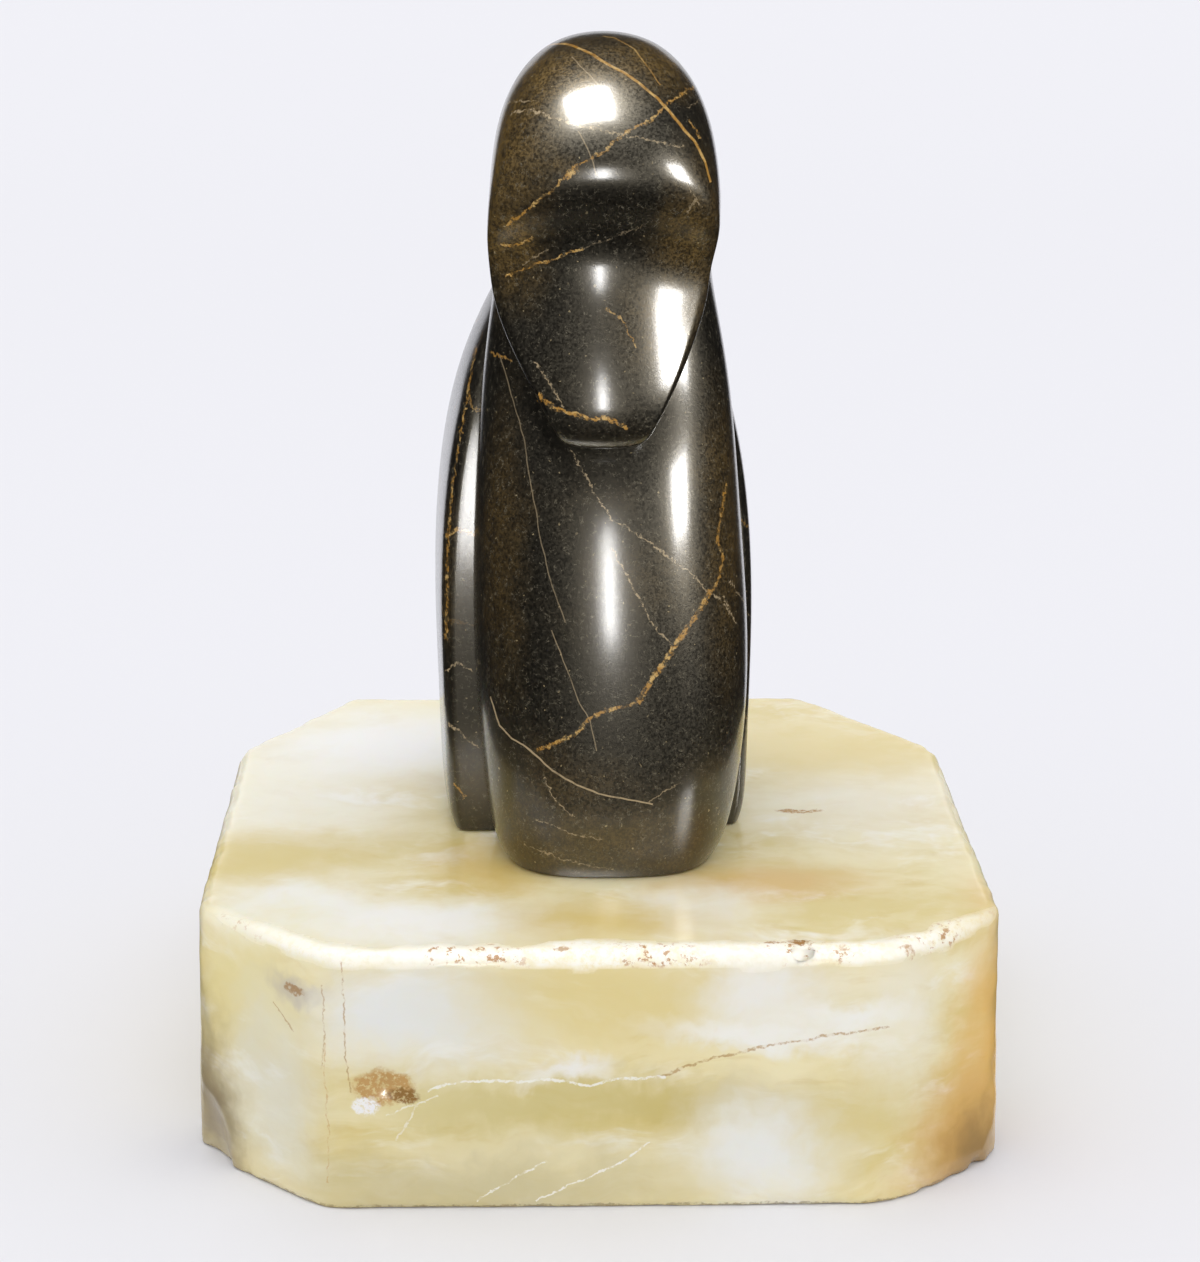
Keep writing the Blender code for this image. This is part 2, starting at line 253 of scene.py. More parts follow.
def round_half_section(rib, depth):
    """Half a rounded section from the outside of the bend inwards: (across, depth) distances."""
    points = []
    for step in range(RING_HALF + 1):
        angle = math.pi * (0.5 - step / RING_HALF)
        squareness = 2.0 / (ROUNDNESS if angle > 0 else rib.fullness)
        reach = power(math.sin(angle), squareness)
        along = rib.widest + reach * ((1.0 - rib.widest) if reach > 0 else rib.widest)
        across = abs(math.cos(angle)) ** squareness
        points.append((across * rib.half_width, (1.0 - along) * depth))
    return points


def face_half_section(rib, depth):
    """Half a section of the face or bill: the arched front, its edge, the cheek and underside."""
    edge = rib.edge * rib.half_width
    across = [share * edge for share in FACE_SHOULDERS] + [edge]
    points = [(x, x**2 / (2 * FACE_RADIUS)) for x in across]
    behind = depth - points[-1][1]
    for width_share, depth_share in CHEEK:
        points.append((width_share * rib.half_width, depth - behind * (1.0 - depth_share)))
    return points


def both_sides(half):
    """A whole ring from half a section: each side leaves the other one of the shared points."""
    return [(x, depth) for x, depth in half[:-1]] + [(-x, depth) for x, depth in half[:0:-1]]


def rib_ring(rib):
    """The points of one section of the breast, neck, head or bill."""
    inner = Vector((0.0, *rib.inner))
    outer = Vector((0.0, *rib.outer))
    depth = (inner - outer).length
    inwards = (inner - outer).normalized()
    half = round_half_section(rib, depth)
    if rib.face > 0:
        faced = face_half_section(rib, depth)
        half = [Vector(a).lerp(Vector(b), rib.face) for a, b in zip(half, faced)]
    return [outer + inwards * deep + Vector((rib.lean + x, 0.0, 0.0)) for x, deep in both_sides(half)]


def wing_ring(level):
    """The points of one flat section through the folded wings."""
    half_width, front, back = level.half_width, level.front, level.back
    corner = level.corner * half_width
    widest = front + (back - front) * WING_WIDEST
    half = []
    for step in range(WING_FRONT_SPACES):
        across = corner * step / WING_FRONT_SPACES
        half.append((across, front - (corner - across) * WING_STEP_SLOPE))
    for bulge, share in WING_SIDES:
        half.append((corner + (half_width - corner) * bulge, front + (widest - front) * share))
    for step in range(WING_BACK_SPACES + 1):
        angle = 0.5 * math.pi * step / WING_BACK_SPACES
        across = half_width * abs(math.cos(angle)) ** (2.0 / WING_SQUARENESS)
        depth = widest + (back - widest) * abs(math.sin(angle)) ** (2.0 / WING_SQUARENESS)
        spread = FURROW_SPREAD * half_width
        half.append((across, depth - level.furrow * math.exp(-((across / spread) ** 2))))
    return [Vector((WING_SHIFT + x, depth, level.height)) for x, depth in both_sides(half)]


def show(name, data):
    """A new object for a mesh, light or camera, linked into the scene."""
    obj = bpy.data.objects.new(name, data)
    bpy.context.scene.collection.objects.link(obj)
    return obj


def show_form(name, bm):
    """A new object for a finished bmesh."""
    mesh = bpy.data.meshes.new(name)
    bm.to_mesh(mesh)
    bm.free()
    return show(name, mesh)


def settle(obj, name):
    """The object with its modifiers applied and its place in its mesh."""
    bpy.context.view_layer.update()
    evaluated = obj.evaluated_get(bpy.context.evaluated_depsgraph_get())
    mesh = bpy.data.meshes.new_from_object(evaluated)
    mesh.transform(obj.matrix_world)
    mesh.name = name
    return show(name, mesh)


def loft(name, rings, creases):
    """A closed smooth form through a stack of rings, kept flat at the first one.

    creases lists (ring, point, value) for the edge that runs from that ring to the next.
    """
    bm = bmesh.new()
    crease = bm.edges.layers.float.new("crease_edge")
    rows = []
    for number, ring in enumerate(rings):
        ends = number in (0, len(rings) - 1)
        circle = bmesh.ops.create_circle(bm, cap_ends=ends, segments=len(ring), radius=1.0)
        for vert, point in zip(circle["verts"], ring):
            vert.co = point
        rows.append(circle["verts"])
    for row, above in zip(rows, rows[1:]):
        both = set(row) | set(above)
        loops = [edge for edge in bm.edges if both.issuperset(edge.verts)]
        bmesh.ops.bridge_loops(bm, edges=loops)
    bmesh.ops.recalc_face_normals(bm, faces=bm.faces)
    for vert, following in zip(rows[0], rows[0][1:] + rows[0][:1]):
        bm.edges.get((vert, following))[crease] = 1.0
    for ring, point, value in creases:
        bm.edges.get((rows[ring][point], rows[ring + 1][point]))[crease] = value
    obj = show_form(name, bm)
    obj.data.shade_smooth()
    smooth = obj.modifiers.new("Smooth", "SUBSURF")
    smooth.levels = SUBDIVISIONS
    smooth.render_levels = SUBDIVISIONS
    return obj


# Nodes


def fill(tree, node, inputs):
    """Fill a node's inputs, each with a value or by a link from a socket."""
    for socket, value in inputs.items():
        if isinstance(value, bpy.types.NodeSocket):
            tree.links.new(value, node.inputs[socket])
        else:
            node.inputs[socket].default_value = value


def add(tree, kind, inputs=(), **settings):
    """A new node of a kind, with its own settings and its inputs filled."""
    new = tree.nodes.new("ShaderNode" + kind)
    for name, value in settings.items():
        setattr(new, name, value)
    fill(tree, new, dict(inputs))
    return new


def new_material(name):
    """A new material, with its nodes and its shader."""
    material = bpy.data.materials.new(name)
    material.use_nodes = True
    return material, material.node_tree, material.node_tree.nodes["Principled BSDF"]


FAR_OFF = 900.0  # mm, where a sheet's line is sent beyond its ends
END = 0.2  # mm, over which it goes there
SHEET_START, SHEET_FULL = 0.7, 0.3  # shares of its width from its line, where it starts and is full


def sheet(tree, drawing, width, strength, points):
    """How far a point of the stone is within a mineral sheet, from 0 to its strength.

    The sheet stands on a line drawn through points, (across, up) in mm on the drawing's plane, and
    runs straight through the stone.
    """
    start, end = Vector(points[0]), Vector(points[-1])
    along = (end - start).normalized()
    turn = math.atan2(along.y, along.x)
    local = add(
        tree,
        "Mapping",
        {"Vector": drawing, "Location": (start.x, 0.0, start.y), "Rotation": (0.0, -turn, 0.0)},
        vector_type="TEXTURE",
    )
    parts = add(tree, "SeparateXYZ", {0: local.outputs[0]})
    line = add(tree, "FloatCurve", {"Value": parts.outputs[0]})
    steps = [Vector(point) - start for point in points]
    stations = sorted((step.dot(along), along.cross(step)) for step in steps)
    stations.insert(0, (stations[0][0] - END, FAR_OFF))
    stations.append((stations[-1][0] + END, FAR_OFF))
    line.mapping.use_clip = False
    curve = line.mapping.curves[0]
    curve.points[0].location = stations[0]
    curve.points[1].location = stations[-1]
    for station in stations[1:-1]:
        curve.points.new(*station)
    for point in curve.points:
        point.handle_type = "VECTOR"
    line.mapping.update()
    off = add(tree, "Math", {0: parts.outputs[2], 1: line.outputs[0]}, operation="SUBTRACT")
    side = add(tree, "Math", {0: off.outputs[0]}, operation="ABSOLUTE")
    return add(
        tree,
        "MapRange",
        {
            "Value": side.outputs[0],
            "From Min": SHEET_START * width,
            "From Max": SHEET_FULL * width,
            "To Max": strength,
        },
        interpolation_type="SMOOTHSTEP",
    ).outputs[0]


def cloud(tree, place, centre, radii, softness):
    """How far a point of the stone is within an egg-shaped cloud, from 0 to 1. Sizes in mm."""
    local = add(
        tree,
        "Mapping",
        {"Vector": place, "Location": centre, "Scale": radii},
        vector_type="TEXTURE",
    )
    far = add(tree, "VectorMath", {0: local.outputs[0]}, operation="LENGTH")
    return add(
        tree,
        "MapRange",
        {"Value": far.outputs["Value"], "From Min": 1.0 + softness, "From Max": 1.0 - softness},
        interpolation_type="SMOOTHSTEP",
    ).outputs[0]


def combine(tree, operation, *shares):
    """Several shares made one by a maths operation, from the first to the last."""
    total = shares[0]
    for share in shares[1:]:
        total = add(tree, "Math", {0: total, 1: share}, operation=operation).outputs[0]
    return total


def tint(tree, under, over, *shares):
    """One colour laid over another by the product of some shares."""
    share = combine(tree, "MULTIPLY", *shares)
    mixed = add(tree, "Mix", {"Factor": share, "A": under, "B": over}, data_type="RGBA")
    return mixed.outputs["Result"]


def noise_share(tree, place, size, low, high, detail=3.0, roughness=0.55, top=1.0, bottom=0.0):
    """A share from 0 to 1 that varies over about size millimetres, rising from low to high noise."""
    field = add(
        tree,
        "TexNoise",
        {"Vector": place, "Scale": 1.0 / size, "Detail": detail, "Roughness": roughness},
    )
    return add(
        tree,
        "MapRange",
        {"Value": field.outputs["Fac"], "From Min": low, "From Max": high, "To Min": bottom, "To Max": top},
        interpolation_type="SMOOTHSTEP",
    ).outputs[0]


def shaken(tree, place, size, reach):
    """The place moved about by up to half the reach, over about size millimetres."""
    field = add(tree, "TexNoise", {"Vector": place, "Scale": 1.0 / size, "Detail": 3.0})
    centred = add(tree, "VectorMath", {0: field.outputs["Color"], 1: (0.5,) * 3}, operation="SUBTRACT")
    return add(
        tree,
        "VectorMath",
        {0: centred.outputs[0], 1: (reach,) * 3, 2: place},
        operation="MULTIPLY_ADD",
    ).outputs[0]


def in_mm(tree):
    """Where a point of the piece is, in millimetres."""
    own = add(tree, "TexCoord").outputs["Object"]
    return add(tree, "VectorMath", {0: own, 1: (1000.0,) * 3}, operation="MULTIPLY").outputs[0]


# Mineral veins of the swan, by mineral and edge, drawn on a plane that leans back by VEIN_TILT:
# (width in mm, strength, points in mm)
VEIN_TILT = math.radians(16.6)
GOLD, CREAM = "gold", "cream"
SMOOTH, RAGGED = "smooth", "ragged"
VEINS = {
    (GOLD, SMOOTH): [
        (0.51, 1.0, [
            (-9.3, 195.3), (-4.9, 193.9), (6.9, 185.6), (10.5, 182.5), (17.6, 174.5), (19.4, 171.1),
            (20.5, 167.2),
        ]),
        (0.29, 0.6, [(1.2, 195.9), (3.4, 195.4), (6.8, 192.7), (11.3, 185.0)]),
    ],
    (CREAM, SMOOTH): [
        (0.24, 0.5, [(-4.8, 190.9), (0.1, 184.6)]),
        (0.24, 0.5, [(-3.6, 176.0), (-1.8, 172.1), (-0.6, 167.8)]),
        (0.2, 0.42, [(-18.3, 138.8), (-13.8, 122.0), (-12.5, 112.3), (-9.4, 96.6), (-6.2, 87.2)]),
        (0.2, 0.5, [(-8.8, 85.9), (-3.4, 71.9), (-1.5, 68.7), (-0.1, 62.7)]),
        (0.32, 0.8, [
            (-20.6, 73.1), (-18.7, 67.5), (-16.4, 65.1), (-14.1, 63.8), (-8.5, 58.8), (-3.9, 56.1),
            (0.3, 54.4), (10.7, 52.3),
        ]),
    ],
    (CREAM, RAGGED): [
        (0.39, 0.9, [(-15.9, 180.6), (-12.4, 180.4), (-5.9, 177.4), (2.5, 175.5)]),
        (0.27, 0.7, [(2.5, 175.5), (8.1, 174.2), (15.7, 173.3)]),
        (0.31, 0.7, [(-17.4, 182.8), (-15.9, 183.1), (-11.3, 181.9)]),
        (0.25, 0.5, [(-14.0, 153.3), (-9.2, 155.7)]),
        (0.24, 0.35, [(-2.8, 155.6), (8.3, 159.6)]),
        (0.29, 0.7, [(-11.8, 135.5), (-6.4, 126.8)]),
        (0.25, 0.6, [(16.3, 181.0), (19.3, 183.9)]),
        (0.24, 0.5, [(15.6, 167.4), (19.0, 162.6)]),
        (0.24, 0.5, [(17.9, 164.3), (16.1, 161.4)]),
        (0.27, 0.8, [
            (-5.1, 119.9), (2.5, 106.7), (6.7, 104.4), (17.8, 96.6), (21.1, 93.3), (23.6, 91.6),
            (26.5, 87.8),
        ]),
        (0.29, 0.8, [(2.5, 101.6), (9.9, 87.9), (13.8, 82.9)]),
        (0.24, 0.6, [(9.7, 52.7), (15.9, 56.5)]),
        (0.25, 0.7, [(-10.3, 57.4), (-8.0, 53.2), (-4.7, 49.9)]),
        (0.24, 0.5, [(-11.8, 49.4), (-3.9, 46.1), (1.3, 45.5)]),
        (0.24, 0.5, [(-14.2, 44.3), (-6.2, 41.3), (3.2, 39.3)]),
        (0.27, 0.7, [(24.2, 92.2), (27.0, 86.7)]),
        (0.27, 0.7, [(25.2, 95.5), (31.0, 88.5)]),
        (0.39, 0.9, [(-29.6, 77.6), (-27.5, 79.4), (-24.2, 77.8)]),
        (0.35, 0.9, [(-29.5, 67.5), (-23.3, 62.1)]),
    ],
    (GOLD, RAGGED): [
        (0.47, 0.9, [
            (18.3, 186.6), (9.3, 177.9), (5.6, 176.0), (2.2, 173.5), (1.1, 171.9), (-0.7, 171.3),
            (-4.0, 169.2), (-6.7, 167.2), (-7.8, 165.7), (-16.7, 159.7),
        ]),
        (1.27, 1.0, [(-4.0, 169.1), (-6.0, 167.7)]),
        (0.35, 0.9, [(-18.2, 156.7), (-14.3, 156.7), (-11.8, 157.8)]),
        (0.39, 0.9, [(-17.3, 151.2), (-2.8, 155.6)]),
        (0.67, 1.0, [(-11.3, 129.5), (-8.0, 126.7), (-1.6, 124.8), (1.7, 124.9), (5.5, 123.3)]),
        (0.31, 0.7, [(1.2, 145.0), (4.7, 142.5), (7.1, 137.5)]),
        (0.43, 0.8, [(16.5, 178.6), (18.8, 175.1)]),
        (0.39, 0.8, [(-20.2, 139.3), (-16.0, 137.0)]),
        (0.47, 0.8, [(25.0, 113.9), (22.9, 103.1), (24.2, 99.9), (23.2, 95.3), (21.9, 93.0)]),
        (0.98, 1.0, [(21.9, 93.3), (7.3, 71.9)]),
        (0.67, 0.9, [(7.3, 71.9), (0.2, 70.0), (-2.0, 68.7), (-3.9, 66.4), (-7.9, 64.1), (-11.8, 62.7)]),
        (0.51, 0.9, [(-28.4, 55.1), (-26.0, 52.3)]),
        (0.39, 0.8, [(-29.5, 84.0), (-29.1, 100.4), (-27.8, 115.4), (-23.2, 142.3)]),
        (0.63, 0.9, [(-29.3, 104.5), (-26.5, 105.8), (-23.7, 104.4)]),
    ],
}

# How softly the clouds and patches end, as a share of their radii
BROWN_SOFTNESS, ONYX_SOFTNESS, CRUMB_SOFTNESS = 0.8, 0.85, 0.2

# Brown clouds in the marble: (middle in mm, radii in mm, strength)
BROWN_CLOUDS = (
    ((-10, -28, 203.5), (13, 12, 8), 1),
    ((-16, -31, 190), (8, 12, 14), 1),
    ((-16, -36, 176), (6, 8, 10), 0.8),
    ((-8, -39, 189), (3.5, 6, 2.5), 0.6),
    ((9, -26, 206), (12, 10, 6), 0.85),
    ((17, -36, 174), (6, 8, 14), 0.7),
    ((12, -39, 160), (7, 6, 9), 0.45),
    ((24, -28, 116), (5, 10, 28), 0.5),
    ((-17.5, -30, 116), (4, 10, 26), 0.35),
    ((0, -40, 58), (26, 10, 8), 0.35),
)


def polished_marble(settings):
    """Polished dark marble: nearly black brown ground with a fine grain, ochre and calcite veins,
    pale flecks, and a wet-looking gloss that mirrors the studio."""
    material, tree, shader = new_material("polished_dark_marble")
    place = in_mm(tree)

    # Ground: dark grey-brown, clouded every few millimetres and grained under a millimetre
    grey = noise_share(tree, place, 7.0, 0.36, 0.7, 5.0, 0.72)
    colour = tint(tree, (*settings.stone, 1.0), opaque("#1c1a12"), grey)
    drifting = shaken(tree, shaken(tree, place, 12.0, 9.0), 2.5, 3.0)
    clouds = [
        combine(tree, "MULTIPLY", cloud(tree, drifting, middle, radii, BROWN_SOFTNESS), share)
        for middle, radii, share in BROWN_CLOUDS
    ]
    behind = noise_share(tree, place, 34.0, 0.48, 0.72, 2.0, top=0.25)
    brown = combine(tree, "MAXIMUM", behind, *clouds)
    mottled = noise_share(tree, place, 3.4, 0.25, 0.66, 4.0, 0.75, bottom=0.35)
    colour = tint(tree, colour, opaque("#7e6228"), brown, mottled)
    dark = noise_share(tree, place, 1.9, 0.5, 0.74, 3.0, 0.75, top=0.7)
    colour = tint(tree, colour, opaque("#0d0b08"), dark)
    grain = noise_share(tree, place, 0.55, 0.4, 0.62, 2.0, 0.8)
    colour = tint(tree, colour, opaque("#0b0906"), grain, 0.7)

    # Short pale hairs, where a noise field crosses its middle, over about a millimetre
    bent = shaken(tree, place, 1.4, 1.6)
    field = add(tree, "TexNoise", {"Vector": bent, "Scale": 1.0, "Detail": 3.0})
    middle = add(tree, "Math", {0: field.outputs["Fac"], 1: 0.5}, operation="SUBTRACT")
    off = add(tree, "Math", {0: middle.outputs[0]}, operation="ABSOLUTE")
    hair = add(tree, "MapRange", {"Value": off.outputs[0], "From Min": 0.03, "From Max": 0.006})
    some = noise_share(tree, place, 1.2, 0.46, 0.66, top=0.45)
    colour = tint(tree, colour, opaque("#8a826c"), hair.outputs[0], some)

    # Flecks of calcite, a fifth of a millimetre to half a millimetre
    flecks = add(tree, "TexVoronoi", {"Vector": bent, "Scale": 1 / 1.7})
    near = {"Value": flecks.outputs["Distance"], "From Min": 0.13, "From Max": 0.08}
    fleck = add(tree, "MapRange", near)
    chosen = add(tree, "SeparateColor", {0: flecks.outputs["Color"]})
    some = add(tree, "MapRange", {"Value": chosen.outputs[0], "From Min": 0.5, "From Max": 1.0})
    colour = tint(tree, colour, opaque("#a9966c"), fleck.outputs[0], some.outputs[0])

    # Veins: the calm ones wander a little, the ragged ones are also jagged under a millimetre
    calm = shaken(tree, place, 6.0, 0.9)
    ragged = shaken(tree, shaken(tree, place, 3.0, 1.3), 0.8, 1.5)
    drawings = {
        edge: add(tree, "Mapping", {"Vector": moved, "Rotation": (VEIN_TILT, 0.0, 0.0)}).outputs[0]
        for edge, moved in ((SMOOTH, calm), (RAGGED, ragged))
    }
    masks = {
        (mineral, edge): [sheet(tree, drawings[edge], *vein) for vein in veins]
        for (mineral, edge), veins in VEINS.items()
    }
    # A net of hair veins through the back, where the photograph doesn't show the stone
    net = add(
        tree,
        "TexVoronoi",
        {"Vector": shaken(tree, ragged, 22.0, 18.0), "Scale": 1 / 42.0},
        feature="DISTANCE_TO_EDGE",
    )
    near = {"Value": net.outputs["Distance"], "From Min": 0.0075, "From Max": 0.003}
    thread = add(tree, "MapRange", near)
    parts = add(tree, "SeparateXYZ", {0: place})
    back = add(tree, "MapRange", {"Value": parts.outputs[1], "From Min": -16.0, "From Max": 0.0})
    uneven = noise_share(tree, place, 17.0, 0.42, 0.55)
    masks[GOLD, RAGGED].append(combine(tree, "MULTIPLY", thread.outputs[0], back.outputs[0], uneven))
    # Ragged veins are strings of crumbs, and smooth ones fade here and there
    textures = {
        SMOOTH: noise_share(tree, place, 2.6, 0.3, 0.48, 4.0, 0.6, bottom=0.55),
        RAGGED: noise_share(tree, place, 0.9, 0.42, 0.55, 3.0, 0.75, bottom=0.12),
    }
    varied = noise_share(tree, ragged, 1.6, 0.46, 0.62)
    ochre = tint(tree, (*settings.gold, 1.0), opaque("#d0aa62"), varied)
    for mineral, over in ((CREAM, (*settings.cream, 1.0)), (GOLD, ochre)):
        for edge, texture in textures.items():
            share = combine(tree, "MAXIMUM", *masks[mineral, edge])
            colour = tint(tree, colour, over, share, texture)

    # Fine polishing marks, under a millimetre, break up the soft part of each highlight
    fine = {"Vector": place, "Scale": 1 / 0.7, "Detail": 4.0, "Roughness": 0.7}
    marks = add(tree, "TexNoise", fine).outputs["Fac"]
    bump = add(tree, "Bump", {"Height": marks, "Strength": 0.6, "Distance": 0.00006})
    rough = add(tree, "MapRange", {"Value": grain, "To Min": 0.44, "To Max": 0.28})
    polish = {
        "Base Color": colour,
        "Roughness": rough.outputs[0],
        "Normal": bump.outputs[0],
        "IOR": 1.52,
        "Specular Tint": opaque("#fff2d6"),
        "Coat Weight": 1.0,
        "Coat Roughness": 0.165,
        "Coat IOR": 1.5,
    }
    fill(tree, shader, polish)
    return material


# Clouds in the onyx, and painted light on its top (a painted glare, and the swan's painted shadow and
# reflection): (colour, strength, middle in mm, radii in mm)
ONYX_CLOUDS_AND_PAINTED_LIGHT = (
    # on the top
    # painted glare: a white sheen on the top, behind the swan on the left
    ("#fffdf4", 1, (-46, 42, 51), (28, 24, 12)),
    ("#fffcf0", 0.7, (-62, 2, 51), (20, 22, 8)),
    ("#fffcf0", 0.6, (58, 5, 51), (20, 22, 8)),
    # painted shadow and reflection of the swan, beside its foot on the left
    ("#dfc06c", 0.8, (-20, -33, 51), (11, 13, 7)),
    ("#e2bd78", 0.8, (31, -42, 51), (17, 9, 7)),
    ("#fdf8e8", 0.9, (19, -57, 51), (12, 11, 6)),
    ("#fffcf0", 1, (-36, -61, 51), (30, 10, 6)),
    ("#fffdf2", 0.9, (-58, -50, 51), (16, 12, 6)),
    # painted reflection of the swan: darker olive in front of its foot
    ("#dcc16a", 0.8, (2, -62, 51), (16, 9, 6)),
    ("#e2cf84", 0.8, (-62, -26, 51), (17, 12, 6)),
    ("#eedb98", 0.8, (50, 38, 51), (26, 18, 8)),
    # on the front, from the left
    ("#958668", 1, (-76, -57, 10), (7, 12, 19)),
    ("#efe2a6", 0.9, (-64, -64, 39), (15, 14, 11)),
    ("#c6bba8", 0.8, (-56, -72, 42), (6, 8, 2.6)),
    ("#eeefe9", 1, (-33, -77, 39), (18, 9, 10)),
    ("#ead99a", 0.9, (4, -77, 41), (24, 9, 11)),
    ("#f7f4e8", 1, (30, -77, 43), (12, 8, 8)),
    ("#d2c078", 0.9, (14, -77, 20.5), (24, 9, 5)),
    ("#d6c888", 0.8, (-20, -77, 21), (24, 9, 5)),
    ("#f2f2ea", 1, (31, -77, 11), (12, 9, 10)),
    ("#cabf92", 0.8, (-22, -77, 4), (36, 9, 8)),
    ("#e8e8dc", 0.7, (-60, -66, 19), (9, 12, 17)),
    ("#e0cf8c", 0.8, (50, -76, 19), (10, 9, 9)),
    ("#f6f1dc", 0.8, (56, -75, 36), (9, 9, 14)),
    ("#fbf8ec", 1, (28, -77, 34.6), (15, 8, 2.6)),
    ("#fbf8ec", 1, (46, -77, 38), (11, 8, 2.4)),
    ("#f8f6ee", 0.9, (-8, -77, 27), (7, 8, 2.2)),
    ("#eabd6c", 1, (80, -55, 23), (12, 16, 25)),
    ("#dcb066", 1, (71, -66, 6), (14, 11, 14)),
    ("#9c7f52", 0.9, (75, -62, 0), (12, 12, 9)),
)
# Patches of rust and chalk with crumbly edges, in the same terms
ONYX_CRUMBS = (
    ("#caa266", 1, (-40.2, -77, 24.4), (5.6, 6, 3.6)),
    ("#9a7540", 1, (-36.6, -77, 22.8), (2.8, 6, 1.6)),
    ("#fbf9f4", 1, (-43.5, -77, 20.9), (2.8, 6, 1.8)),
    ("#a98252", 0.8, (-56.5, -71, 41.6), (1.8, 4, 1)),
    ("#b98a3c", 0.9, (42.5, -2.2, 51), (4.6, 1.1, 3)),
    ("#a9782f", 1, (36.7, -72, 50), (2.6, 1.6, 1.6)),
    ("#b3803f", 0.9, (32, -72.4, 50), (2.8, 0.9, 1.2)),
    ("#b98a4c", 0.8, (-8, -74, 50), (2.4, 0.8, 1)),
    ("#b98a4c", 0.8, (46, -74, 49), (3.6, 1.2, 1.6)),
    ("#b98a4c", 0.8, (55, -72.5, 49), (3, 1.6, 1.6)),
)
# Lines in the onyx, and a dark band along its foot, drawn from the front: (colour, strength, width in mm,
# (x, z) points in mm)
ONYX_LINES = (
    ("#b99257", 0.7, 0.45, [(10.1, 26.0), (18.4, 29.2), (29.2, 31.9), (42.1, 34.3), (53.0, 35.6)]),
    ("#fbf8ec", 0.9, 0.5, [
        (-32.2, 24.0), (-26.1, 25.6), (-10.4, 25.8), (-2.0, 24.6), (3.4, 25.9), (12.0, 26.2),
    ]),
    ("#b48a4e", 0.6, 0.3, [(-47.6, 49.4), (-47.2, 43.4), (-47.0, 34.4), (-46.9, 27.9), (-46.0, 23.6)]),
    ("#b48a4e", 0.5, 0.25, [(-51.3, 44.4), (-51.0, 36.0), (-51.5, 27.7)]),
    ("#b48a4e", 0.6, 0.3, [(-60.9, 37.8), (-56.9, 33.5)]),
    ("#d0a468", 0.5, 0.25, [(-51.0, 32.8), (-50.6, 14.0), (-51.1, 4.8)]),
    ("#fdfbf2", 0.8, 0.35, [(-23.2, 1.7), (-10.1, 9.7)]),
    ("#fdfbf2", 0.8, 0.35, [(-12.2, 1.6), (3.5, 9.0), (9.0, 13.2)]),
    # a dark brown band along the whole foot, just above the floor
    ("#8f7850", 0.6, 0.8, [(-80.0, 0.3), (80.0, 0.3)]),
    ("#fdfbf2", 0.6, 0.3, [(-40.0, 19.0), (-30.0, 23.0)]),
    ("#fdfbf2", 0.5, 0.3, [(-38.0, 14.0), (-34.0, 21.0)]),
)


